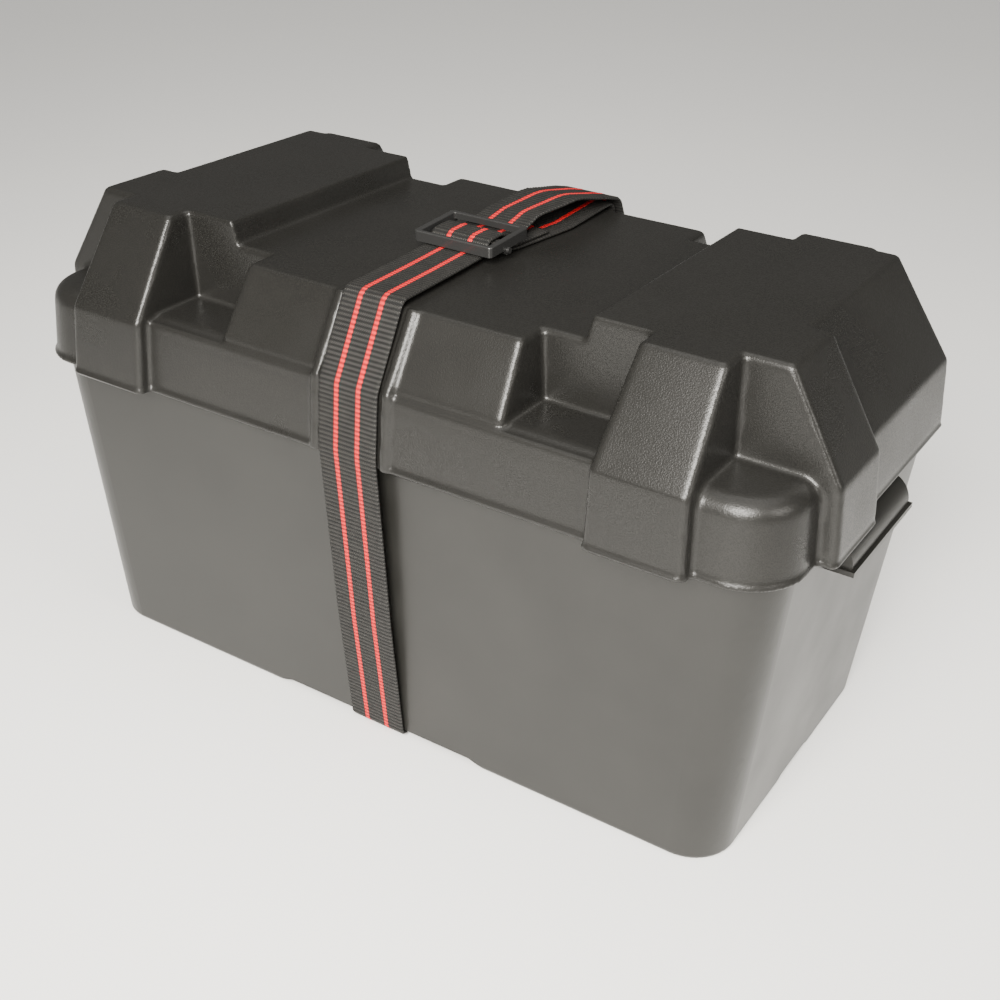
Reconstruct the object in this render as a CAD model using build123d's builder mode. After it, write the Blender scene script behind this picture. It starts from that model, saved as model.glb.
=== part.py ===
from build123d import *
import os

# Strap-down battery box with a Group 27 deep cycle battery inside, in millimetres.
# Origin: middle of the footprint, on the surface the box stands on. X runs along the
# length, Y from front (-) to back (+), Z up.

os.makedirs("parts", exist_ok=True)

# ---------------------------------------------------------------- driving dimensions
WALL = 2.8                    # moulded wall of box and lid
SLIP = 0.3                    # running clearance between loose parts

FOOT_X, FOOT_Y = 188.6, 92.2  # half length and half width of the box at the floor
RIM_X, RIM_Y = 202.3, 102.6   # the same, under the lip of the lid
FOOT_R, RIM_R = 22, 25        # vertical corner radii
FOOT_H = 4                    # height of the corner feet
LIP_Z = 160                   # underside of the lid
COLLAR_X, COLLAR_Y, COLLAR_R = 201, 101.2, 31
COLLAR_Z = 191                # top of the box wall, inside the lid

KINK_Z = 196                  # where the lid's walls begin to lean in
CENTRE_Z = 230                # top of the lid between the humps
HUMP_Z = 241                  # top of the two humps
SKIRT_X, SKIRT_Y = 206.8, 108.8
DRAFT = 2.4                   # the lid's lower walls lean in this much from lip to kink
SHELF_X, SHELF_Y = SKIRT_X - DRAFT, SKIRT_Y - DRAFT
PANEL_R = 2.6                 # rounded edges of the raised panels

STRAP_W = 32                  # webbing width
STRAP_T = 1.8                 # webbing thickness
BUCKLE_X, BUCKLE_Y = -3, -9   # middle of the slide buckle on the lid
BAR_Y, BAR_Z = -11, CENTRE_Z + 5.3  # axis of its low centre bar

CASE_X, CASE_Y = 153, 86.5    # battery, half length and half width
CASE_Z0 = FOOT_H + WALL + 0.4
CASE_Z1 = 178                 # top of the case, underside of the cover
COVER_Z1 = 191.5              # cover's outer shelf
CROWN_Z = 206                 # cover's raised middle
CELLS = 6
POST_X, POST_Y = 140, 58      # terminals, at the front corners of the cover


def block(sections, radius=0):
    """A straight-sided block through rectangles (z, x0, x1, y0, y1), with rounded edges."""
    with BuildPart() as body:
        for z, x0, x1, y0, y1 in sections:
            with BuildSketch(Plane.XY.offset(z)):
                with Locations(((x0 + x1) / 2, (y0 + y1) / 2)):
                    Rectangle(x1 - x0, y1 - y0)
        loft(ruled=True)
        if radius:
            fillet(body.edges(), radius)
    return body.part


def rounded_block(sections, top_radius=0):
    """A loft through rounded rectangles (z, half_x, half_y, corner radius)."""
    with BuildPart() as body:
        for z, hx, hy, radius in sections:
            with BuildSketch(Plane.XY.offset(z)):
                RectangleRounded(2 * hx, 2 * hy, radius)
        loft(ruled=True)
        if top_radius:
            fillet(body.faces().sort_by(Axis.Z)[-1].edges(), top_radius)
    return body.part


def webbing(points, x, width=STRAP_W, thickness=STRAP_T):
    """Flat webbing along a route of (y, z) points, from front to back: its lower face
    is on the route."""
    with BuildPart() as body:
        with BuildSketch(Plane.YZ.offset(x)):
            with BuildLine():
                Polyline(*points)
                offset(amount=thickness, side=Side.LEFT, closed=True)
            make_face()
        extrude(amount=width / 2, both=True)
    return body.part


# ---------------------------------------------------------------- box
box_outside = rounded_block(
    [(0, FOOT_X, FOOT_Y, FOOT_R), (LIP_Z - 1, RIM_X, RIM_Y, RIM_R)])
box_inside = rounded_block(
    [(FOOT_H + WALL, FOOT_X - WALL + 0.6, FOOT_Y - WALL + 0.5, FOOT_R - WALL),
     (LIP_Z - 6, RIM_X - WALL - 1.2, RIM_Y - WALL - 1.2, RIM_R - WALL),
     (COLLAR_Z + 1, COLLAR_X - WALL, COLLAR_Y - WALL, COLLAR_R - WALL)])
collar = rounded_block(
    [(LIP_Z - 6, COLLAR_X, COLLAR_Y, COLLAR_R), (COLLAR_Z, COLLAR_X, COLLAR_Y, COLLAR_R)])

CHANNEL_X, CHANNEL_Y = 56, 15     # half widths of the raised strips between the feet
FOOT_SLOPE_X, FOOT_SLOPE_Y = 12.4, 8.5
FOOT_ANGLE_X, FOOT_ANGLE_Y = 18, 25
HOOD_X, HOOD_Y = 212, 36          # cable hood at each end: reach and half width
HOOD_Z0, HOOD_Z1 = 139, 155
HOOD_R = 12.4                     # its rounded shoulder
HOOD_ROOT_X = 190                 # the hood's block starts inside the wall
HOOD_LIP, HOOD_LIP_H = 1.6, 2.4   # its lower edge stands out this much
PASSAGE_X = RIM_X + 0.5           # outer face of the wall behind the hood
SLOT_Y, SLOT_H = 28, 9            # slot in the wall, half width and height

with BuildPart() as hood:
    with BuildSketch(Plane.XY.offset(HOOD_Z0)):
        with Locations(((HOOD_X + HOOD_ROOT_X) / 2, 0)):
            Rectangle(HOOD_X - HOOD_ROOT_X, 2 * HOOD_Y)
    extrude(amount=HOOD_Z1 - HOOD_Z0)
    fillet(hood.edges().filter_by(Axis.Y).group_by(Axis.Z)[-1].sort_by(Axis.X)[-1], HOOD_R)
    with BuildSketch(Plane.XY.offset(HOOD_Z0)):
        with Locations(((HOOD_X + HOOD_LIP + HOOD_ROOT_X) / 2, 0)):
            Rectangle(HOOD_X + HOOD_LIP - HOOD_ROOT_X, 2 * (HOOD_Y + HOOD_LIP))
    extrude(amount=HOOD_LIP_H)

with BuildPart() as passage:
    with BuildSketch(Plane.XY.offset(HOOD_Z0)):
        with Locations(((HOOD_X - WALL + PASSAGE_X) / 2, 0)):
            Rectangle(HOOD_X - WALL - PASSAGE_X, 2 * (HOOD_Y - WALL))
    extrude(amount=HOOD_Z1 - WALL - HOOD_Z0)
    shoulder = passage.edges().filter_by(Axis.Y).group_by(Axis.Z)[-1].sort_by(Axis.X)[-1]
    chamfer(shoulder, HOOD_X - WALL - PASSAGE_X - 0.2)
    with Locations((PASSAGE_X - 2 * WALL, 0, (HOOD_Z0 + HOOD_Z1) / 2)):
        Box(5 * WALL, 2 * SLOT_Y, SLOT_H)

with BuildPart() as box:
    add(box_outside)
    fillet(box.faces().sort_by(Axis.Z)[0].edges(), 3)
    add(collar)
    # raised strips under the box, which leave four corner feet and room for the strap
    with BuildSketch(Plane.XZ):
        Trapezoid(2 * (CHANNEL_X + FOOT_SLOPE_X), FOOT_H, FOOT_ANGLE_X,
                  align=(Align.CENTER, Align.MIN))
    extrude(amount=SKIRT_Y, both=True, mode=Mode.SUBTRACT)
    with BuildSketch(Plane.YZ):
        Trapezoid(2 * (CHANNEL_Y + FOOT_SLOPE_Y), FOOT_H, FOOT_ANGLE_Y,
                  align=(Align.CENTER, Align.MIN))
    extrude(amount=SKIRT_X, both=True, mode=Mode.SUBTRACT)
    # cable hoods: closed on top, open underneath, over a slot in each end wall
    add(hood.part)
    add(mirror(hood.part, about=Plane.YZ, mode=Mode.PRIVATE))
    add(box_inside, mode=Mode.SUBTRACT)
    add(passage.part, mode=Mode.SUBTRACT)
    add(mirror(passage.part, about=Plane.YZ, mode=Mode.PRIVATE), mode=Mode.SUBTRACT)
box.part.label = "box"
export_step(box.part, "parts/box.step")


# ---------------------------------------------------------------- lid
TOP_Y = 83                    # front edge of a hump's top
POCKET_Y = 71                 # back wall of the pockets
PANEL_X0, PANEL_X1 = 125, 166     # raised panel on the front and back of each hump
PANEL_OUT = 7                 # how far that panel stands proud of the lower wall
CENTRE_X = 75                 # half length of the centre's leaning panel
CENTRE_Y = 86.5               # front edge of the centre's top
HUMP_X = 98.5                 # inner edge of a hump's top
NOTCH_X, NOTCH_Y = 168, 66    # inner corner of the notch between panel and end hood
BULGE_R = 9                   # rounded top of the corner bulges
RIB_W, RIB_OUT = 4, 2         # raised strips on both sides of the strap
RIB_X = STRAP_W / 2 + 1.5 + RIB_W / 2
LIP_OUT, LIP_H = 1.2, 2       # bead along the lid's lower edge
# end hoods: reach, front and back edge at the lip, at the kink and at the top
BAND_H = 5                    # the hoods' lowest band steps in to the lip
FRONT_HOOD = ((214.3, -71, -24), (215.2, -71, -24.3), (213, -72, -27), (185.5, -69, -26))
REAR_HOOD = ((207.9, -40, 85.5), (208.6, -40, 85.2), (206.5, -40, 83), (175.5, -40, 81.5))
HOOD_START_X = 140            # the hoods' blocks start inside the humps


def lid_form(inset):
    """The lid's outline as one solid, every wall moved inwards by inset."""
    low = LIP_Z - abs(inset)                 # the inner form runs out through the lip
    shelf, mid, top = KINK_Z - inset, CENTRE_Z - inset, HUMP_Z - inset
    edge = max(PANEL_R - inset, 0)
    i = inset

    def mirrored(z, x0, x1, y):
        return (z, x0 + i, x1 - i, -y + i, y - i)

    skirt_long = block([
        (low, -NOTCH_X, NOTCH_X, -SKIRT_Y + i, SKIRT_Y - i),
        (shelf, -NOTCH_X, NOTCH_X, -SHELF_Y + i, SHELF_Y - i)])
    skirt_wide = block([
        (low, -SKIRT_X + i, SKIRT_X - i, -NOTCH_Y, NOTCH_Y),
        (shelf, -SHELF_X + i, SHELF_X - i, -NOTCH_Y, NOTCH_Y)])
    corners = rounded_block([
        (low, SKIRT_X - i, SKIRT_Y - i, RIM_R + 3 - i),
        (shelf + 1.5, SHELF_X - i, SHELF_Y - i, RIM_R + 2 - i)], max(BULGE_R - i, 1))
    centre = block([
        (shelf, -CENTRE_X - 2.5 + i, CENTRE_X + 2.5 - i, -SHELF_Y + i, SHELF_Y - i),
        (mid, -CENTRE_X + i, CENTRE_X - i, -CENTRE_Y + i * 1.3, CENTRE_Y - i * 1.3)], edge)
    spine = block([
        (low, -HUMP_X - 20, HUMP_X + 20, -POCKET_Y - 0.8 + i, POCKET_Y + 0.8 - i),
        (mid, -HUMP_X - 20, HUMP_X + 20, -POCKET_Y + i, POCKET_Y - i)], edge)
    with BuildPart() as form:
        add(skirt_long)
        add(skirt_wide)
        add(corners)
        add(centre)
        add(spine)
        for side in (-1, 1):
            hump_inner = block([
                mirrored(low, HUMP_X - 4, PANEL_X0 + 10, POCKET_Y + 0.8),
                mirrored(mid, HUMP_X - 3, PANEL_X0 + 10, POCKET_Y),
                mirrored(top, HUMP_X, PANEL_X0 + 10, POCKET_Y)], 0)
            hump_outer = block([
                mirrored(low, HUMP_X, NOTCH_X + 2, NOTCH_Y + 1),
                mirrored(top, HUMP_X, NOTCH_X, NOTCH_Y)], 0)
            panel = block([
                mirrored(low, PANEL_X0 - 1.5, PANEL_X1 + 3.5, SKIRT_Y + PANEL_OUT),
                mirrored(shelf, PANEL_X0 - 2, PANEL_X1 + 1.5, SHELF_Y + PANEL_OUT),
                mirrored(top, PANEL_X0 + 1, PANEL_X1 - 1, TOP_Y)], edge)
            levels = (low, LIP_Z + BAND_H, shelf, top)
            front_hood, rear_hood = [
                block([(z, HOOD_START_X, reach - i, front + i, back - i)
                       for z, (reach, front, back) in zip(levels, shape)], edge)
                for shape in (FRONT_HOOD, REAR_HOOD)]
            for piece in (hump_inner, hump_outer, panel, front_hood, rear_hood):
                add(piece if side > 0 else mirror(piece, about=Plane.YZ, mode=Mode.PRIVATE))
    return form.part


# the bead along the lower edge, left out where the strap and its ribs run down
with BuildPart() as bead:
    add(lid_form(-LIP_OUT))
    with Locations((0, 0, LIP_Z + LIP_H / 2)):
        Box(3 * SKIRT_X, 3 * SKIRT_Y, LIP_H, mode=Mode.INTERSECT)
    Box(2 * RIB_X + RIB_W, 3 * SKIRT_Y, 3 * LIP_Z, mode=Mode.SUBTRACT)

rib_route = [(-SKIRT_Y + 0.5, LIP_Z), (-SHELF_Y + 0.5, KINK_Z), (-CENTRE_Y + 0.8, CENTRE_Z - 0.4)]
with BuildPart() as rib:
    add(webbing(rib_route, RIB_X, RIB_W, RIB_OUT + 0.5))
    mirror(about=Plane.YZ)
    mirror(about=Plane.XZ)

with BuildPart() as lid:
    add(lid_form(0))
    add(bead.part)
    # raised strips on both sides of the strap, front and back
    add(rib.part)
    add(lid_form(WALL), mode=Mode.SUBTRACT)
lid.part.label = "lid"
export_step(lid.part, "parts/lid.step")


# ---------------------------------------------------------------- strap and buckle
TOUCH = 0.2                   # webbing lies this far off the plastic
FRAME_X, FRAME_Y = 22, 16.3   # half length and half width of the buckle's frame
FRAME_Z0, FRAME_Z1 = CENTRE_Z + 5.8, CENTRE_Z + 10.8
REST_TILT = 3                 # degrees that the frame leans forwards on its centre bar
RAIL, END_BAR = 3, 2.4        # thickness of its side rails and of its end bars
REAR_BAR_H = 3.2              # the rear bar is shallower, over the doubled webbing
CENTRE_BAR_R = 1.5
BAR_END = 1.3                 # the centre bar's ends stand out of the rails
LOOP_R = CENTRE_BAR_R + TOUCH + STRAP_T
TOP_X = -1.2                  # middle of the webbing where it crosses the lid's top
TAIL_X = 2                    # the free end leans to the right
TAIL_END_Z = 72

wall_y, shelf_y, top_y = SKIRT_Y + TOUCH, SHELF_Y + TOUCH, CENTRE_Y + TOUCH
floor_y = FOOT_Y + 0.8        # the box's front at the strap channel
lid_z = CENTRE_Z + TOUCH

strap_lower_route = [
    (-wall_y, LIP_Z), (-floor_y, FOOT_H - TOUCH), (floor_y, FOOT_H - TOUCH), (wall_y, LIP_Z)]
strap_lower_part = webbing(strap_lower_route[::-1], 0)
with BuildPart() as strap_lower:
    add(strap_lower_part)
strap_lower.part.label = "strap_lower"
export_step(strap_lower.part, "parts/strap_lower.step")

front_edge, rear_edge = BUCKLE_Y - FRAME_Y, BUCKLE_Y + FRAME_Y
under_bar = FRAME_Z0 - STRAP_T - 0.9                      # webbing under the front bar
over_loop = BAR_Z + LOOP_R + 0.2                          # and over the sewn loop
doubled = 2 * STRAP_T - 0.2
under_rear = lid_z + doubled - 0.4
front_rise = [(-wall_y, LIP_Z + TOUCH), (-shelf_y, KINK_Z), (-top_y, lid_z)]
through_buckle = [
    (-52, lid_z + 0.6), (front_edge - 2, under_bar), (front_edge + 3.4, under_bar + 0.3),
    (BAR_Y - 4, over_loop - 0.8), (BAR_Y, over_loop), (BAR_Y + 4, over_loop - 0.8),
    (BAR_Y + 12, under_rear), (rear_edge + 1, under_rear)]
lay = STRAP_T + 0.3                                       # the free end lies on the strap
tail_fall = [
    (28, lid_z + 6.5), (46, lid_z + 10.5), (62, lid_z + 9.5), (78, lid_z + 4),
    (top_y + 1.6, lid_z + lay), (shelf_y + lay + 1, KINK_Z), (wall_y + lay, LIP_Z),
    (wall_y + lay + 0.3, TAIL_END_Z)]
with BuildPart() as strap_front:
    add(webbing(front_rise, 0))
    halfway = (-(shelf_y + top_y) / 2, (KINK_Z + lid_z) / 2)
    add(webbing([halfway, (-top_y, lid_z)] + through_buckle, TOP_X))
strap_front.part.label = "strap_front"
export_step(strap_front.part, "parts/strap_front.step")

tail_y = through_buckle[-1][0]
with BuildPart() as strap_tail:
    add(webbing([(tail_y + TOUCH, under_rear), (tail_y + 2, under_rear)] + tail_fall, TAIL_X))
strap_tail.part.label = "strap_tail"
export_step(strap_tail.part, "parts/strap_tail.step")

SEAM_END_Y = 30               # the webbing is doubled and sewn from the loop to here
with BuildPart() as strap_rear:
    with BuildSketch(Plane.YZ.offset(TOP_X)):
        with Locations((BAR_Y, BAR_Z)):
            Circle(LOOP_R)
            Circle(CENTRE_BAR_R + TOUCH, mode=Mode.SUBTRACT)
    extrude(amount=STRAP_W / 2, both=True)
    add(webbing([(BAR_Y + 1, BAR_Z - LOOP_R), (BAR_Y + 8, lid_z), (SEAM_END_Y, lid_z)],
                TOP_X, thickness=doubled - 1))
    add(webbing([(SEAM_END_Y - 1, lid_z), (top_y, lid_z), (shelf_y, KINK_Z),
                 (wall_y, LIP_Z + TOUCH)], TOP_X))
    with Locations((TOP_X, BAR_Y, BAR_Z)):
        Cylinder(CENTRE_BAR_R + TOUCH, STRAP_W + 2, rotation=(0, 90, 0), mode=Mode.SUBTRACT)
strap_rear.part.label = "strap_rear"
export_step(strap_rear.part, "parts/strap_rear.step")

with BuildPart() as strap_stitching:
    with BuildSketch(Plane.XY.offset(lid_z + doubled - 1 + 0.02)):
        with Locations((TOP_X, 12), (TOP_X, 24)):
            Rectangle(STRAP_W - 6, 1)
        with Locations((TOP_X - 11, 18), (TOP_X, 18), (TOP_X + 11, 18)):
            Rectangle(1, 11)
    extrude(amount=0.4)
strap_stitching.part.label = "strap_stitching"
export_step(strap_stitching.part, "parts/strap_stitching.step")

with BuildPart() as level_buckle:
    with BuildSketch(Plane.XY.offset(FRAME_Z0)):
        with Locations((BUCKLE_X, BUCKLE_Y)):
            RectangleRounded(2 * FRAME_X, 2 * FRAME_Y, 2)
            RectangleRounded(2 * (FRAME_X - RAIL), 2 * (FRAME_Y - END_BAR), 1, mode=Mode.SUBTRACT)
    extrude(amount=FRAME_Z1 - FRAME_Z0)
    fillet(level_buckle.edges().group_by(Axis.Z)[-1], 0.6)
    # the rear bar's lower half is cut away over the webbing
    with Locations((BUCKLE_X, rear_edge, FRAME_Z0)):
        Box(2 * (FRAME_X - RAIL), 3 * END_BAR, 2 * (FRAME_Z1 - FRAME_Z0 - REAR_BAR_H),
            mode=Mode.SUBTRACT)
    # rails deepened where the centre bar passes through them
    rail_x = FRAME_X - RAIL / 2
    with Locations((BUCKLE_X - rail_x, BAR_Y, BAR_Z), (BUCKLE_X + rail_x, BAR_Y, BAR_Z)):
        Cylinder(CENTRE_BAR_R + 0.8, RAIL, rotation=(0, 90, 0))
    with Locations((BUCKLE_X, BAR_Y, BAR_Z)):
        Cylinder(CENTRE_BAR_R, 2 * (FRAME_X + BAR_END), rotation=(0, 90, 0))
with BuildPart() as buckle:
    add(level_buckle.part.rotate(Axis((0, BAR_Y, BAR_Z), (1, 0, 0)), REST_TILT))
buckle.part.label = "buckle"
export_step(buckle.part, "parts/buckle.step")


# ---------------------------------------------------------------- battery
CASE_WALL = 3
PARTITION = 2
CELL_PITCH = (2 * (CASE_X - CASE_WALL) + PARTITION) / CELLS
CELL_W = CELL_PITCH - PARTITION
CELL_X = [CELL_PITCH * (n - (CELLS - 1) / 2) for n in range(CELLS)]
FLOOR_Z = CASE_Z0 + CASE_WALL
CROWN_X, CROWN_Y = 149, 40    # cover's raised middle
COVER_LAP = 3                 # cover's skirt, down over the case
FILL_R = 9                    # filler hole
CAP_T = 8                     # vent cap above the crown
PLUG_DEPTH = 9
POST_HOLE_R = 9
BAR_H, BAR_W = 7, 14          # cast straps over the plates
PLATE_Y, PLATE_H = 76, 128
PLATE_Z0 = FLOOR_Z + 8
STRAP_Z = PLATE_Z0 + PLATE_H + 4
LINK_R, LINK_Z = 4.5, STRAP_Z + BAR_H + 6
LINK_Y = 40                   # the links lie this far to the front and back, by turns

LINK_PLACES = [((CELL_X[n] + CELL_X[n + 1]) / 2, LINK_Y if n % 2 == 0 else -LINK_Y)
               for n in range(CELLS - 1)]

case_half_y = CASE_Y - CASE_WALL
with BuildPart() as battery_case:
    with BuildSketch(Plane.XY.offset(CASE_Z0)):
        RectangleRounded(2 * CASE_X, 2 * CASE_Y, 6)
    extrude(amount=CASE_Z1 - CASE_Z0)
    fillet(battery_case.faces().sort_by(Axis.Z)[0].edges(), 2)
    with BuildSketch(Plane.XY.offset(FLOOR_Z)):
        with Locations([(x, 0) for x in CELL_X]):
            Rectangle(CELL_W, 2 * case_half_y)
    extrude(amount=CASE_Z1 - FLOOR_Z, mode=Mode.SUBTRACT)
    # holes through the partitions for the links from cell to cell
    with Locations([(x, y, LINK_Z) for x, y in LINK_PLACES]):
        Cylinder(LINK_R, PARTITION + 2, rotation=(0, 90, 0), mode=Mode.SUBTRACT)
battery_case.part.label = "battery_case"
export_step(battery_case.part, "parts/battery_case.step")

with BuildPart() as battery_cover:
    with BuildSketch(Plane.XY.offset(CASE_Z1)):
        RectangleRounded(2 * CASE_X, 2 * CASE_Y, 6)
    extrude(amount=COVER_Z1 - CASE_Z1)
    with BuildSketch(Plane.XY.offset(COVER_Z1)):
        RectangleRounded(2 * CROWN_X, 2 * CROWN_Y, 6)
    extrude(amount=CROWN_Z - COVER_Z1)
    fillet(battery_cover.faces().sort_by(Axis.Z)[-1].edges(), 2)
    with BuildSketch(Plane.XY.offset(CASE_Z1)):
        Rectangle(2 * (CASE_X - CASE_WALL), 2 * case_half_y)
    extrude(amount=COVER_Z1 - CASE_Z1 - CASE_WALL, mode=Mode.SUBTRACT)
    with BuildSketch(Plane.XY.offset(CASE_Z1)):
        Rectangle(2 * (CROWN_X - CASE_WALL), 2 * (CROWN_Y - CASE_WALL))
    extrude(amount=CROWN_Z - CASE_Z1 - CASE_WALL, mode=Mode.SUBTRACT)
    with Locations([(x, 0, CROWN_Z - 1) for x in CELL_X]):
        Cylinder(FILL_R, 10, mode=Mode.SUBTRACT)
    with Locations([(side * POST_X, -POST_Y, COVER_Z1 - 1) for side in (-1, 1)]):
        Cylinder(POST_HOLE_R, 10, mode=Mode.SUBTRACT)
battery_cover.part.label = "battery_cover"
export_step(battery_cover.part, "parts/battery_cover.step")

# two gang caps, each closing three cells
for name, cells in (("vent_cap_left", CELL_X[:3]), ("vent_cap_right", CELL_X[3:])):
    middle = cells[1]
    with BuildPart() as vent_cap:
        with BuildSketch(Plane.XY.offset(CROWN_Z)):
            with Locations((middle, 0)):
                RectangleRounded(2 * CELL_PITCH + 36, 34, 10)
        extrude(amount=CAP_T)
        fillet(vent_cap.faces().sort_by(Axis.Z)[-1].edges(), 2.5)
        with Locations([(x, 0, CROWN_Z - PLUG_DEPTH / 2) for x in cells]):
            Cylinder(FILL_R - 1.6, PLUG_DEPTH)
        # raised grip ribs and a breather hole over each cell
        with Locations([(x, 0, CROWN_Z + CAP_T + 0.5) for x in cells]):
            Box(3, 22, 1.4)
        with Locations([(x + 4, 0, CROWN_Z) for x in cells]):
            Cylinder(1, 2 * (CAP_T + PLUG_DEPTH), mode=Mode.SUBTRACT)
    vent_cap.part.label = name
    export_step(vent_cap.part, "parts/" + name + ".step")

    with BuildPart() as seal:
        with BuildSketch(Plane.XY.offset(CROWN_Z - 2.6)):
            with Locations([(x, 0) for x in cells]):
                Circle(FILL_R - SLIP)
                Circle(FILL_R - 1.6, mode=Mode.SUBTRACT)
        extrude(amount=2)
    seal.part.label = name.replace("cap", "seals")
    export_step(seal.part, "parts/" + seal.part.label + ".step")

# plate packs: in every cell five negative and four positive plates, with separators between
NEGATIVE_T, POSITIVE_T, SEPARATOR_T, PLATE_GAP = 2.8, 3.6, 1.8, 0.15
STACK = []                    # (kind, middle of the sheet from the middle of the cell)
along = 0
for n in range(17):
    kind = "separator" if n % 2 else ("negative" if n % 4 == 0 else "positive")
    thick = {"separator": SEPARATOR_T, "negative": NEGATIVE_T, "positive": POSITIVE_T}[kind]
    STACK.append((kind, along + thick / 2, thick))
    along += thick + PLATE_GAP
STACK = [(kind, place - (along - PLATE_GAP) / 2, thick) for kind, place, thick in STACK]
SHEETS = {
    "negative": ("negative_plates", PLATE_Y, PLATE_Z0, PLATE_H),
    "positive": ("positive_plates", PLATE_Y, PLATE_Z0, PLATE_H),
    "separator": ("separators", PLATE_Y + 3, PLATE_Z0 - 3, PLATE_H + 6)}
for kind, (name, half_y, z0, height) in SHEETS.items():
    with BuildPart() as sheets:
        for _, place, thick in [sheet for sheet in STACK if sheet[0] == kind]:
            with BuildSketch(Plane.XY.offset(z0)):
                with Locations([(x + place, 0) for x in CELL_X]):
                    Rectangle(thick, 2 * half_y)
            extrude(amount=height)
    sheets.part.label = name
    export_step(sheets.part, "parts/" + name + ".step")

# element rests: ribs on the cell floors that carry the plates
with BuildPart() as plate_rests:
    with BuildSketch(Plane.XY.offset(FLOOR_Z)):
        with Locations([(x, y) for x in CELL_X for y in (-50, 50)]):
            Rectangle(CELL_W - 1, 5)
    extrude(amount=PLATE_Z0 - 3 - FLOOR_Z)
plate_rests.part.label = "plate_rests"
export_step(plate_rests.part, "parts/plate_rests.step")

# cast straps: one joins the positive plates and one the negative plates of each cell


def strap_side(kind, cell):
    """The straps change sides from cell to cell, so that neighbours can be linked."""
    return LINK_Y if (kind == "positive") == (cell % 2 == 0) else -LINK_Y


for kind, name in (("positive", "positive_straps"), ("negative", "negative_straps")):
    reach = [place for sheet_kind, place, _ in STACK if sheet_kind == kind]
    with BuildPart() as cast_straps:
        for cell, x in enumerate(CELL_X):
            y = strap_side(kind, cell)
            with BuildSketch(Plane.XY.offset(STRAP_Z)):
                with Locations((x, y)):
                    Rectangle(CELL_W - 2, BAR_W)
            extrude(amount=BAR_H)
            with BuildSketch(Plane.XY.offset(PLATE_Z0 + PLATE_H)):
                with Locations([(x + place, y) for place in reach]):
                    Rectangle(NEGATIVE_T - 0.4, BAR_W - 2)
            extrude(amount=STRAP_Z - PLATE_Z0 - PLATE_H)
    cast_straps.part.label = name
    export_step(cast_straps.part, "parts/" + name + ".step")

# links through the partitions, from one cell's positive strap to the next one's negative
LUG_T, LUG_W = 3, 12
with BuildPart() as cell_links:
    for x, y in LINK_PLACES:
        with Locations((x, y, LINK_Z)):
            Cylinder(LINK_R, PARTITION + 1.2, rotation=(0, 90, 0))
        lug_h = LINK_Z + LINK_R + 1 - STRAP_Z - BAR_H
        with Locations([(x + side * (PARTITION / 2 + 0.5 + LUG_T / 2), y,
                         STRAP_Z + BAR_H + lug_h / 2) for side in (-1, 1)]):
            Box(LUG_T, LUG_W, lug_h)
cell_links.part.label = "cell_links"
export_step(cell_links.part, "parts/cell_links.step")

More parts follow.
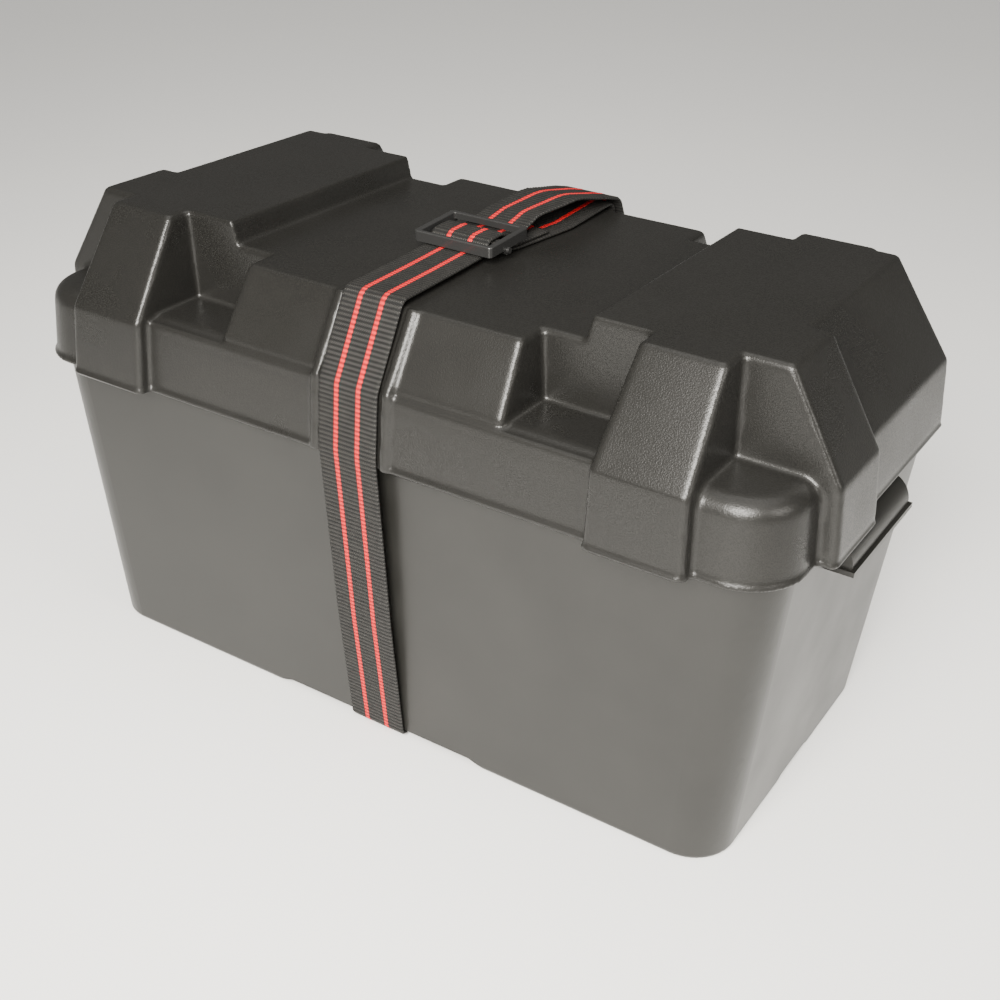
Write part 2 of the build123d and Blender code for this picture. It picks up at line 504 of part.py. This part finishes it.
# terminals: a lead post cast onto the end strap, a steel stud, washer and wing nut
POST_R = 7
TAPER_R0, TAPER_R1, TAPER_H = 8.8, 7.9, 15
STUD_R, STUD_DEEP, STUD_TALL = 4, 10, 20
POST_TOP = COVER_Z1 + 1 + TAPER_H
WASHER_R, WASHER_T = 8.5, 1.6
NUT_R, NUT_H = 6.5, 8
WING_REACH, WING_T = 14.5, 3
for pole, side in (("negative", -1), ("positive", 1)):
    x, y = side * POST_X, -POST_Y
    with BuildPart() as post:
        with BuildSketch(Plane.XY.offset(STRAP_Z)):
            with Locations((x - side * 4, y)):
                Rectangle(24, 2 * (POST_Y - LINK_Y - BAR_W / 2))
        extrude(amount=BAR_H)
        with BuildSketch(Plane.XY.offset(STRAP_Z)):
            with Locations((x, y)):
                Circle(POST_R)
        extrude(amount=COVER_Z1 + 1 - STRAP_Z)
        for z, radius in ((COVER_Z1 + 1, TAPER_R0), (POST_TOP, TAPER_R1)):
            with BuildSketch(Plane.XY.offset(z)):
                with Locations((x, y)):
                    Circle(radius)
        loft()
        with Locations((x, y, POST_TOP)):
            Cylinder(STUD_R, 2 * STUD_DEEP, mode=Mode.SUBTRACT)
    post.part.label = pole + "_post"
    export_step(post.part, "parts/" + pole + "_post.step")

    with BuildPart() as bushing:
        with BuildSketch(Plane.XY.offset(COVER_Z1 - CASE_WALL)):
            with Locations((x, y)):
                Circle(POST_HOLE_R - 0.05)
                Circle(POST_R + 0.05, mode=Mode.SUBTRACT)
        extrude(amount=CASE_WALL + 0.9)
    bushing.part.label = pole + "_bushing"
    export_step(bushing.part, "parts/" + pole + "_bushing.step")

    with BuildPart() as stud:
        with BuildSketch(Plane.XY.offset(POST_TOP - STUD_DEEP)):
            with Locations((x, y)):
                Circle(STUD_R)
        extrude(amount=STUD_DEEP + STUD_TALL)
        chamfer(stud.faces().sort_by(Axis.Z)[-1].edges(), 0.8)
    stud.part.label = pole + "_stud"
    export_step(stud.part, "parts/" + pole + "_stud.step")

    with BuildPart() as washer:
        with BuildSketch(Plane.XY.offset(POST_TOP)):
            with Locations((x, y)):
                Circle(WASHER_R)
                Circle(STUD_R + SLIP, mode=Mode.SUBTRACT)
        extrude(amount=WASHER_T)
    washer.part.label = pole + "_washer"
    export_step(washer.part, "parts/" + pole + "_washer.step")

    nut_z = POST_TOP + WASHER_T + SLIP
    with BuildPart() as wing_nut:
        with BuildSketch(Plane.XY.offset(nut_z)):
            with Locations((x, y)):
                Circle(NUT_R)
        extrude(amount=NUT_H, taper=6)
        with BuildSketch(Plane.XZ.offset(-y)):
            with Locations([(x + wing * (WING_REACH + 3) / 2, nut_z + NUT_H - 1)
                            for wing in (-1, 1)]):
                Ellipse((WING_REACH - 3) / 2, 6)
        extrude(amount=WING_T / 2, both=True)
        with Locations((x, y, nut_z)):
            Cylinder(STUD_R + SLIP, 60, mode=Mode.SUBTRACT)
    wing_nut.part.label = pole + "_wing_nut"
    export_step(wing_nut.part, "parts/" + pole + "_wing_nut.step")
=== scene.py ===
import math

import bpy
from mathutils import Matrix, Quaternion, Vector


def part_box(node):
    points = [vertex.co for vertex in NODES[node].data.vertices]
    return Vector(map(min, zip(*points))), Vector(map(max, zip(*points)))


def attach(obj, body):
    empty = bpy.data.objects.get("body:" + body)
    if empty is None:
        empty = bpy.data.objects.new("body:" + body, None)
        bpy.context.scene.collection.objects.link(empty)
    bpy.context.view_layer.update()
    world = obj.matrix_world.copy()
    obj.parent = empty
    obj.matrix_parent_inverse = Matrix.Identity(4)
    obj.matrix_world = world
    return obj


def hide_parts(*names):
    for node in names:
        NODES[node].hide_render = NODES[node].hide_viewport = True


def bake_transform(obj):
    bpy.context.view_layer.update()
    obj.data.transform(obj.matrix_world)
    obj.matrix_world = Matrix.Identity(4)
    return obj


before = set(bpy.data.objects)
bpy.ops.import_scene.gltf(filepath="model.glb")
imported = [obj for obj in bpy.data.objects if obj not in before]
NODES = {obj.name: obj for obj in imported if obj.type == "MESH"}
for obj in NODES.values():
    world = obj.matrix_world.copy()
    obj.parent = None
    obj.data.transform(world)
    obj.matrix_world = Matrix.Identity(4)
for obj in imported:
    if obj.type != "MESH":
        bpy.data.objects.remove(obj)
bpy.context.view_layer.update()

# Looks of a strap-down battery box: moulded plastic, woven webbing, slide buckle, and the
# battery inside. Metres, in the frame's own axes: X along the length, Y to the back, Z up.

MM = 0.001


# ---------------------------------------------------------------- materials
class Surface:
    """A Principled material under construction: a few short calls that add and join nodes."""

    def __init__(self, name, colour, roughness, **sockets):
        self.material = bpy.data.materials.new(name)
        self.material.use_nodes = True
        self.tree = self.material.node_tree
        self.shader = self.tree.nodes["Principled BSDF"]
        self.shader.inputs["Base Color"].default_value = (*colour, 1)
        self.shader.inputs["Roughness"].default_value = roughness
        for socket, value in sockets.items():
            self.shader.inputs[socket.replace("_", " ")].default_value = value
        self.place = self.add("ShaderNodeTexCoord").outputs["Object"]

    def add(self, kind, inputs=(), **settings):
        node = self.tree.nodes.new(kind)
        for key, value in settings.items():
            setattr(node, key, value)
        for socket, value in dict(inputs).items():
            if isinstance(value, bpy.types.NodeSocket):
                self.tree.links.new(value, node.inputs[socket])
            else:
                node.inputs[socket].default_value = value
        return node

    def join(self, value, socket):
        self.tree.links.new(value, self.shader.inputs[socket])

    def math(self, operation, *values):
        return self.add("ShaderNodeMath", dict(enumerate(values)), operation=operation).outputs[0]

    def noise(self, size, detail=2, stretch=None):
        """Noise whose blotches are about size metres across, drawn out along the axes where
        stretch is small."""
        place = self.place
        if stretch:
            place = self.add("ShaderNodeMapping", {"Vector": place, "Scale": stretch}).outputs[0]
        inputs = {"Vector": place, "Scale": 1 / size, "Detail": detail}
        return self.add("ShaderNodeTexNoise", inputs).outputs["Fac"]

    def cells(self, size, warp=0.35):
        """Rounded cells about size metres across, with wandering edges: moulded pebble grain."""
        wander = self.add("ShaderNodeTexNoise", {"Vector": self.place, "Scale": 0.6 / size})
        shift = self.add("ShaderNodeVectorMath",
                         {0: wander.outputs["Color"], 1: (warp * size,) * 3}, operation="MULTIPLY")
        moved = self.add("ShaderNodeVectorMath", {0: self.place, 1: shift.outputs[0]},
                         operation="ADD")
        cell = self.add("ShaderNodeTexVoronoi",
                        {"Vector": moved.outputs[0], "Scale": 1 / size, "Smoothness": 0.6},
                        feature="SMOOTH_F1")
        return cell.outputs["Distance"]

    def ramp(self, value, low, high, out_low=0.0, out_high=1.0):
        inputs = {"Value": value, "From Min": low, "From Max": high,
                  "To Min": out_low, "To Max": out_high}
        return self.add("ShaderNodeMapRange", inputs).outputs[0]

    def mix(self, factor, a, b):
        """A colour between a and b."""
        node = self.add("ShaderNodeMix", data_type="RGBA")
        for index, value in ((0, factor), (6, a), (7, b)):
            if isinstance(value, bpy.types.NodeSocket):
                self.tree.links.new(value, node.inputs[index])
            elif index:
                node.inputs[index].default_value = (*value, 1)
            else:
                node.inputs[index].default_value = value
        return node.outputs[2]

    def bump(self, height, depth, strength=1.0):
        """Adds relief of that depth in metres on top of what is there."""
        inputs = {"Height": height, "Distance": depth, "Strength": strength}
        if self.shader.inputs["Normal"].links:
            inputs["Normal"] = self.shader.inputs["Normal"].links[0].from_socket
        self.join(self.add("ShaderNodeBump", inputs).outputs[0], "Normal")


def moulded(name, colour, roughness, pebble=0.0, pebble_depth=0.0, scuff=0.25, **sockets):
    """Injection-moulded plastic: fine tooth, optional pebble grain, slow blotches in tint and
    gloss, and grooves between the grains painted paler as a painted sparkle of the grain."""
    s = Surface(name, colour, roughness, **sockets)
    blotch = s.noise(0.05, 3)
    fine = s.noise(0.0006, 2)
    lighter = tuple(min(1, c * 1.7 + 0.004) for c in colour)
    tint = s.mix(s.ramp(blotch, 0.35, 0.7, 0, scuff), colour, lighter)
    gloss = s.ramp(blotch, 0.3, 0.7, roughness - 0.04, roughness + 0.05)
    if pebble:
        grain = s.cells(pebble)
        # the grooves between the grains are painted paler: a painted sparkle that stands in for
        # glints on the grain
        painted_sparkle_grooves = s.ramp(grain, 0.15, 0.6)
        tint = s.mix(s.math("MULTIPLY", painted_sparkle_grooves, 0.8), tint, lighter)
        gloss = s.math("ADD", gloss, s.ramp(grain, 0.2, 0.6, 0.05, -0.05))
        s.bump(s.math("SUBTRACT", 1.0, grain), pebble_depth)
    s.bump(fine, 0.00003)
    s.join(tint, "Base Color")
    s.join(gloss, "Roughness")
    return s.material


def metal(name, colour, roughness, brushed=(1, 1, 1), cast=0.0):
    """Bare metal with fine scratches, drawn out along the axes where brushed is small, and
    a rough skin of depth cast."""
    s = Surface(name, colour, roughness, Metallic=1.0)
    scratch = s.noise(0.0005, 3, brushed)
    tarnish = s.noise(0.012, 4)
    darker = tuple(c * 0.62 for c in colour)
    s.join(s.mix(s.ramp(tarnish, 0.4, 0.75, 0, 0.8), colour, darker), "Base Color")
    s.join(s.ramp(tarnish, 0.3, 0.75, roughness, roughness + 0.2), "Roughness")
    s.bump(scratch, 0.00002)
    if cast:
        s.bump(s.noise(0.003, 4), cast)
    return s.material


def pasted(name, colour, darker):
    """Battery plate: rough paste over a cast grid that shows through as shallow cells."""
    s = Surface(name, colour, 0.85)
    s.join(s.mix(s.ramp(s.noise(0.006, 5), 0.35, 0.7), colour, darker), "Base Color")
    s.bump(s.noise(0.0012, 5), 0.0003)
    s.bump(s.cells(0.007, 0.1), 0.0004)
    return s.material


def ribbed_sheet(name, colour):
    """Porous separator with upright ribs."""
    s = Surface(name, colour, 0.7)
    y = s.add("ShaderNodeSeparateXYZ", {0: s.place}).outputs["Y"]
    rib = s.math("SINE", s.math("MULTIPLY", y, 2 * math.pi / 0.006))
    grey = tuple(c * 0.8 for c in colour)
    s.join(s.mix(s.ramp(s.noise(0.01, 4), 0.4, 0.7), colour, grey), "Base Color")
    s.bump(rib, 0.0004)
    return s.material


def webbing_material(name):
    """Woven webbing with two red zigzag stripes, read from each point's own place across and along
    it, in metres. The dips between the ribs are painted black and the crests paler, a painted
    shade and highlight of the weave, with random pale patches."""
    # the paler colour is the painted light on the rib crests and the tone of random patches
    black, lit_crest_and_patch_tone = (0.0015, 0.0015, 0.0015), (0.018, 0.017, 0.015)
    s = Surface(name, black, 0.5, Specular_IOR_Level=0.35)
    across = s.add("ShaderNodeAttribute", attribute_name="across").outputs["Fac"]
    along = s.add("ShaderNodeAttribute", attribute_name="along").outputs["Fac"]
    plait = s.math("SINE", s.math("MULTIPLY", across, 2 * math.pi / WARP_PITCH))
    turn = s.math("MULTIPLY", along, 2 * math.pi / RIB_PITCH)
    weft = s.math("COSINE", turn)
    threads = s.math("MULTIPLY", plait, s.math("SINE", s.math("MULTIPLY", turn, 2.0)))
    # crests painted pale and dips between the ribs painted black: painted shade and highlight of
    # the weave
    painted_rib_shade = s.ramp(weft, -0.4, 1, 0, 0.75)
    patchy = s.ramp(s.noise(0.004, 4), 0.35, 0.7, 0, 0.25)
    shade = s.math("ADD", painted_rib_shade, patchy)
    tint = s.mix(shade, black, lit_crest_and_patch_tone)
    saw = s.math("PINGPONG", s.math("DIVIDE", along, RIB_PITCH), 0.5)
    zigzag = s.math("MULTIPLY", s.math("SUBTRACT", saw, 0.25), ZIGZAG)
    for side in (-1, 1):
        off = s.math("ABSOLUTE", s.math("SUBTRACT", s.math("ADD", across, zigzag),
                                        side * STRIPE_X))
        mask = s.ramp(off, STRIPE_HALF + 0.25 * MM, STRIPE_HALF - 0.15 * MM)
        # the red is painted darker in the rib dips and paler on the crests: painted shade and
        # highlight of the weave
        red = s.mix(s.ramp(weft, -1, 1), (0.22, 0.003, 0.005), (0.62, 0.008, 0.012))
        tint = s.mix(mask, tint, red)
    s.join(tint, "Base Color")
    s.join(s.ramp(weft, -1, 1, 0.85, 0.45), "Roughness")
    s.bump(threads, 0.00012)
    s.bump(s.noise(0.0004, 2), 0.00005)
    return s.material


def thread_material(name, colour):
    """Twisted sewing thread."""
    s = Surface(name, colour, 0.6, Sheen_Weight=0.3)
    x = s.add("ShaderNodeSeparateXYZ", {0: s.place})
    twist = s.math("ADD", x.outputs["X"], x.outputs["Y"])
    s.bump(s.math("SINE", s.math("MULTIPLY", twist, 2 * math.pi / 0.0012)), 0.0003)
    lighter = tuple(c * 1.8 for c in colour)
    s.join(s.mix(s.noise(0.001, 2), colour, lighter), "Base Color")
    return s.material


def floor_material():
    """Matt pale floor with a faint change of tint."""
    s = Surface("pale_floor", (0.80, 0.80, 0.79), 0.7)
    s.join(s.mix(s.noise(0.4, 2), (0.80, 0.80, 0.79), (0.83, 0.83, 0.82)), "Base Color")
    return s.material


def paint(material, *names):
    """Gives carried-over nodes their material."""
    for name in names:
        mesh = NODES[name].data
        mesh.materials.clear()
        mesh.materials.append(material)


# ---------------------------------------------------------------- webbing
STRAP_HALF = 16 * MM
STRAP_T = 1.5 * MM            # halfway between a rib's crest and the dip beside it
RIB_PITCH = 2.2 * MM          # cross ribs of the weave
RIB_RISE = 0.24 * MM          # crest above that halfway surface, and dip below it
WARP_PITCH = 1.1 * MM
STRIPE_X = 6 * MM             # middle of each red stripe, from the strap's middle
STRIPE_HALF = 1.1 * MM
STRIPE_RISE = 0.12 * MM
ZIGZAG = 1.2 * MM             # twice the width of the zigzag in a stripe's edge
STEP_IN, STEP_OUT = 0.9, 1.3  # millimetres from a stripe's middle, where its step up lies
SELVEDGE_X = 15.5 * MM        # beyond this the webbing thins out to its edge
SELVEDGE_THIN = 0.45
SELVEDGE_WAVE = 0.15 * MM     # the edge bulges this much at each rib
RINGS_PER_RIB = 4


def rounded_route(corners):
    """Positions and twists along straight runs between corners (x, y, z, radius, twist in
    degrees), each corner turned on its radius."""
    points = [Vector(c[:3]) for c in corners]
    line = [(points[0], corners[0][4])]
    for before, here, after, corner in zip(points, points[1:], points[2:], corners[1:]):
        into, out = (here - before), (after - here)
        turn = into.angle(out)
        reach = min(corner[3] * math.tan(turn / 2), 0.48 * into.length, 0.48 * out.length)
        start, end = here - into.normalized() * reach, here + out.normalized() * reach
        steps = max(2, math.ceil(turn / math.radians(9)))
        for n in range(steps + 1):
            # a quadratic turn, which is close to the arc at these angles
            t = n / steps
            line.append(((1 - t) ** 2 * start + 2 * t * (1 - t) * here + t ** 2 * end, corner[4]))
    line.append((points[-1], corners[-1][4]))
    return line


def even_steps(line, step):
    """The route again, at even steps along its length: (position, twist, length so far)."""
    lengths = [0.0]
    for (a, _), (b, _) in zip(line, line[1:]):
        lengths.append(lengths[-1] + (b - a).length)
    count = round(lengths[-1] / step)
    found, k = [], 0
    for n in range(count + 1):
        s = lengths[-1] * n / count
        while k < len(lengths) - 2 and lengths[k + 1] < s:
            k += 1
        span = lengths[k + 1] - lengths[k]
        t = (s - lengths[k]) / span if span else 0
        found.append((line[k][0].lerp(line[k + 1][0], t),
                      line[k][1] + t * (line[k + 1][1] - line[k][1]), s))
    return found


def section_columns():
    """Places across the webbing, dense at the stripes and at the sewn edges."""
    stripe, edge = STRIPE_X / MM, STRAP_HALF / MM
    half = [0, 2, 4, stripe - STEP_OUT, stripe - STEP_IN, stripe + STEP_IN, stripe + STEP_OUT,
            9, 11.5, 14, edge - 0.8, edge]
    return [-x * MM for x in half[:0:-1]] + [x * MM for x in half]


def webbing(name, corners):
    """A strip of ribbed webbing with round edges, as one closed mesh."""
    route = even_steps(rounded_route(corners), RIB_PITCH / RINGS_PER_RIB)
    columns = section_columns()
    vertices, faces, across, along = [], [], [], []
    for n, (here, twist, s) in enumerate(route):
        tangent = (route[min(n + 1, len(route) - 1)][0] - route[max(n - 1, 0)][0]).normalized()
        wide = Vector((1, 0, 0))
        wide = (wide - wide.dot(tangent) * tangent).normalized()
        up = wide.cross(tangent)
        angle = math.radians(twist)
        wide, up = (wide * math.cos(angle) + up * math.sin(angle),
                    up * math.cos(angle) - wide * math.sin(angle))
        wave = math.cos(2 * math.pi * s / RIB_PITCH)
        for face in (1, -1):
            for x in columns[::face]:
                edge = abs(x) > SELVEDGE_X
                stripe = abs(abs(x) - STRIPE_X) < STRIPE_HALF + 0.1 * MM
                rise = RIB_RISE * wave + (STRIPE_RISE if stripe else 0)
                height = STRAP_T / 2 * (SELVEDGE_THIN if edge else 1) + (0 if edge else rise)
                reach = x + math.copysign(SELVEDGE_WAVE * wave, x) if edge else x
                vertices.append(here + wide * reach + up * height * face)
                across.append(x)
                along.append(s)
    ring = 2 * len(columns)
    for n in range(len(route) - 1):
        for k in range(ring):
            a, b = n * ring + k, n * ring + (k + 1) % ring
            faces.append((a, b, b + ring, a + ring))
    last = (len(route) - 1) * ring
    faces.append(tuple(range(ring))[::-1])
    faces.append(tuple(range(last, last + ring)))
    mesh = bpy.data.meshes.new(name)
    mesh.from_pydata(vertices, [], faces)
    for label, values in (("across", across), ("along", along)):
        mesh.attributes.new(label, "FLOAT", "POINT").data.foreach_set("value", values)
    mesh.shade_smooth()
    mesh.update()
    strip = bpy.data.objects.new(name, mesh)
    bpy.context.scene.collection.objects.link(strip)
    strip.data.materials.append(WEBBING)
    return strip


WEBBING = webbing_material("striped_webbing")

LIP_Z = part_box("lid")[0].z                 # the lid's lower edge
buckle_low, buckle_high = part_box("buckle")
BAR = (buckle_low + buckle_high) / 2       # the buckle's centre bar, low and to the front
BAR.y -= 1.8 * MM
BAR.z = buckle_low.z + 2.3 * MM
LID_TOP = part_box("strap_rear")[0].z + 70 * MM     # the lid's top between the humps
LAY = STRAP_T / 2 + 0.50 * MM              # webbing's middle above what it lies on

# how far forwards and back the top ends, the leaning panel ends and the lower wall stands
EDGE_Y, KINK_Y, WALL_Y = 86.5 * MM, 106.4 * MM, 108.8 * MM
KINK_Z = LIP_Z + 36 * MM
FLOOR_Y, FLOOR_Z = 92.2 * MM, 4 * MM - LAY     # the box's lower edge, and under it
TOP_Z = LID_TOP + LAY

# from the free run under the rear bar, forwards over the centre bar and down the front,
# round the box, up the back and over the lid again, then looped round the centre bar and
# doubled back over itself: x, y, z, radius of the turn, twist in degrees
belt_corners = [
    (BAR.x, BAR.y + 20 * MM, TOP_Z + 3.95 * MM, 4 * MM, 0),
    (BAR.x, BAR.y + 13 * MM, TOP_Z + 3.95 * MM, 5 * MM, 0),
    (BAR.x - 0.5 * MM, BAR.y + 6 * MM, BAR.z + 4.7 * MM, 5 * MM, 0),
    (BAR.x - 0.5 * MM, BAR.y - 5.5 * MM, BAR.z + 4.4 * MM, 6 * MM, 0),
    (BAR.x - 0.5 * MM, BAR.y - 10.9 * MM, BAR.z - 1.9 * MM, 4 * MM, 0),
    (BAR.x + 0.8 * MM, -52 * MM, TOP_Z + 1.6 * MM, 60 * MM, 0),
    (-0.7 * MM, -EDGE_Y - 1.6 * MM, TOP_Z + 1.6 * MM, 6 * MM, 0),
    (-0.4 * MM, -KINK_Y - 1.6 * MM, KINK_Z, 8 * MM, 0),
    (-0.3 * MM, -WALL_Y - 1.4 * MM, LIP_Z + 4 * MM, 30 * MM, 0),
    (1.2 * MM, -FLOOR_Y - 10.2 * MM, LIP_Z - 90 * MM, 200 * MM, 0),
    (2.0 * MM, -FLOOR_Y - 2.0 * MM, FLOOR_Z - 0.3 * MM, 3.5 * MM, 0),
    (2.0 * MM, FLOOR_Y + 2.0 * MM, FLOOR_Z - 0.3 * MM, 3.5 * MM, 0),
    (1.6 * MM, FLOOR_Y + 10.2 * MM, LIP_Z - 90 * MM, 200 * MM, 0),
    (1.2 * MM, WALL_Y + 1.6 * MM, LIP_Z, 10 * MM, 0),
    (1.2 * MM, KINK_Y + 3.3 * MM, KINK_Z, 8 * MM, 0),
    (4.2 * MM, EDGE_Y + 2.6 * MM, TOP_Z + 1.8 * MM, 6 * MM, 0),
    (5.0 * MM, 46 * MM, TOP_Z, 30 * MM, 0),
    (BAR.x + 3 * MM, BAR.y + 16 * MM, TOP_Z, 30 * MM, 0),
    (BAR.x + 0.5 * MM, BAR.y + 3 * MM, BAR.z - 2.7 * MM, 3 * MM, 0),
    (BAR.x + 0.5 * MM, BAR.y - 2.7 * MM, BAR.z - 2.7 * MM, 2.7 * MM, 0),
    (BAR.x + 0.5 * MM, BAR.y - 2.7 * MM, BAR.z + 2.6 * MM, 2.7 * MM, 0),
    (BAR.x + 0.5 * MM, BAR.y + 2.7 * MM, BAR.z + 2.6 * MM, 2.7 * MM, 0),
    (BAR.x + 0.5 * MM, BAR.y + 5.6 * MM, BAR.z - 1.8 * MM, 5 * MM, 0),
    (BAR.x + 3 * MM, BAR.y + 16 * MM, TOP_Z + 1.97 * MM, 20 * MM, 0),
    (BAR.x + 5 * MM, BAR.y + 40 * MM, TOP_Z + 1.97 * MM, 20 * MM, 0),
]

# the free end lies on the strap: it bulges up behind the buckle, slews to the right and
# hangs down the back
tail_corners = [
    (BAR.x, BAR.y + 21.2 * MM, TOP_Z + 4.5 * MM, 6 * MM, 0),
    (-2.0 * MM, 27 * MM, TOP_Z + 8.8 * MM, 30 * MM, 5),
    (3.0 * MM, 54 * MM, TOP_Z + 11.8 * MM, 40 * MM, 2),
    (7.0 * MM, 76 * MM, TOP_Z + 8.0 * MM, 20 * MM, 0),
    (7.4 * MM, EDGE_Y + 4.6 * MM, TOP_Z + 4.1 * MM, 8 * MM, 0),
    (7.0 * MM, KINK_Y + 6.0 * MM, KINK_Z, 10 * MM, 0),
    (6.0 * MM, WALL_Y + 4.2 * MM, LIP_Z, 40 * MM, 0),
    (5.0 * MM, WALL_Y + 3.8 * MM, 72 * MM, 40 * MM, 0),
]

belt = webbing("strap_belt", belt_corners)
tail = webbing("strap_free_end", tail_corners)
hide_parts("strap_lower", "strap_front", "strap_rear")
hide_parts("strap_tail")
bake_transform(belt)
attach(tail, "lid")


# ---------------------------------------------------------------- carried-over nodes
LID_PLASTIC = moulded("pebbled_lid_plastic", (0.006, 0.0058, 0.0052), 0.34,
                      pebble=0.65 * MM, pebble_depth=0.05 * MM, Specular_IOR_Level=0.33)
BOX_PLASTIC = moulded("satin_box_plastic", (0.009, 0.0088, 0.0078), 0.36, scuff=0.4,
                      Specular_IOR_Level=0.42)
paint(LID_PLASTIC, "lid")
paint(BOX_PLASTIC, "box")
paint(moulded("buckle_plastic", (0.016, 0.016, 0.016), 0.24), "buckle")
paint(thread_material("seam_thread", (0.02, 0.02, 0.02)), "strap_stitching")
paint(moulded("case_plastic", (0.045, 0.048, 0.052), 0.42), "battery_case", "battery_cover",
      "plate_rests")
paint(moulded("cap_plastic", (0.012, 0.012, 0.013), 0.38, pebble=0.8 * MM,
              pebble_depth=0.1 * MM), "vent_cap_left", "vent_cap_right")
paint(moulded("seal_rubber", (0.02, 0.02, 0.02), 0.75), "vent_seals_left", "vent_seals_right",
      "negative_bushing")
paint(moulded("red_seal", (0.42, 0.02, 0.02), 0.6), "positive_bushing")
paint(metal("cast_lead", (0.36, 0.37, 0.39), 0.55, cast=0.0002), "positive_straps",
      "negative_straps", "cell_links", "negative_post", "positive_post")
paint(metal("stainless", (0.62, 0.61, 0.59), 0.28, brushed=(1, 1, 0.06)), "negative_stud",
      "positive_stud", "negative_washer", "positive_washer", "negative_wing_nut",
      "positive_wing_nut")
paint(pasted("positive_paste", (0.10, 0.045, 0.028), (0.05, 0.024, 0.017)), "positive_plates")
paint(pasted("negative_paste", (0.22, 0.23, 0.25), (0.12, 0.125, 0.135)), "negative_plates")
paint(ribbed_sheet("separator_sheet", (0.62, 0.60, 0.53)), "separators")


def soften(name, voxel, rounds, keep):
    """Rounds the edges of a moulded shell, inside and out, as its mould would."""
    node = NODES[name]
    remesh = node.modifiers.new("even_mesh", "REMESH")
    remesh.mode = "VOXEL"
    remesh.voxel_size = voxel
    remesh.use_smooth_shade = True
    smooth = node.modifiers.new("rounded_edges", "SMOOTH")
    smooth.factor = 0.5
    smooth.iterations = rounds
    thin = node.modifiers.new("fewer_faces", "DECIMATE")
    thin.ratio = keep
    normals = node.modifiers.new("even_shading", "WEIGHTED_NORMAL")
    normals.mode = "FACE_AREA"
    normals.weight = 50


soften("lid", 1.1 * MM, 5, 0.3)


# ---------------------------------------------------------------- floor, camera, lights
FLOOR_HALF = 6
floor_mesh = bpy.data.meshes.new("floor")
floor_mesh.from_pydata([(-FLOOR_HALF, -FLOOR_HALF, 0), (FLOOR_HALF, -FLOOR_HALF, 0),
                        (FLOOR_HALF, FLOOR_HALF, 0), (-FLOOR_HALF, FLOOR_HALF, 0)], [],
                       [(0, 1, 2, 3)])
floor_mesh.materials.append(floor_material())
floor = bpy.data.objects.new("floor", floor_mesh)
bpy.context.scene.collection.objects.link(floor)

EYE = (0.35425, -0.54645, 0.45651)
LENS, SENSOR = 50.68, 36                  # millimetres
AZIMUTH, ELEVATION, ROLL = math.radians(32.05), math.radians(29.37), math.radians(1.78)
camera_data = bpy.data.cameras.new("camera")
camera_data.lens = LENS
camera_data.sensor_width = SENSOR
camera_data.clip_start = 0.01
camera = bpy.data.objects.new("camera", camera_data)
bpy.context.scene.collection.objects.link(camera)
back = Vector((math.sin(AZIMUTH) * math.cos(ELEVATION), -math.cos(AZIMUTH) * math.cos(ELEVATION),
               math.sin(ELEVATION)))
facing = back.to_track_quat("Z", "Y") @ Quaternion((0, 0, 1), ROLL)
camera.rotation_euler = facing.to_euler()
camera.location = EYE
bpy.context.scene.camera = camera


def softbox(name, direction, distance, size, power, spread=180, target=(0, 0, 0.1)):
    """A square lamp that far from the target in that direction, facing it. Spread is in
    degrees."""
    lamp = bpy.data.lights.new(name, "AREA")
    lamp.size = size
    lamp.energy = power
    lamp.spread = math.radians(spread)
    lamp.color = (1.0, 0.965, 0.90)
    holder = bpy.data.objects.new(name, lamp)
    bpy.context.scene.collection.objects.link(holder)
    towards = Vector(direction).normalized()
    holder.location = Vector(target) + towards * distance
    holder.rotation_euler = towards.to_track_quat("Z", "Y").to_euler()


softbox("front", (0.22, -0.72, 0.60), 1.5, 0.9, 23, 70, (0.06, -0.17, 0))
softbox("right", (0.85, -0.15, 0.62), 1.4, 0.7, 2, 70, (0.25, 0, 0))

# a dim room with a wide soft light overhead
ROOM, CEILING = 0.15, 2.3
CEILING_FROM, CEILING_TO = 0.78, 0.92     # height of the direction where the light begins
world = bpy.data.worlds.new("studio")
world.use_nodes = True
sky = world.node_tree
direction = sky.nodes.new("ShaderNodeTexCoord").outputs["Generated"]
height = sky.nodes.new("ShaderNodeSeparateXYZ")
strength = sky.nodes.new("ShaderNodeMapRange")
strength.interpolation_type = "SMOOTHSTEP"
for socket, value in (("From Min", CEILING_FROM), ("From Max", CEILING_TO),
                      ("To Min", ROOM), ("To Max", CEILING)):
    strength.inputs[socket].default_value = value
sky.links.new(direction, height.inputs[0])
sky.links.new(height.outputs["Z"], strength.inputs["Value"])
sky.links.new(strength.outputs[0], sky.nodes["Background"].inputs["Strength"])
sky.nodes["Background"].inputs["Color"].default_value = (1.0, 0.98, 0.94, 1)
bpy.context.scene.world = world
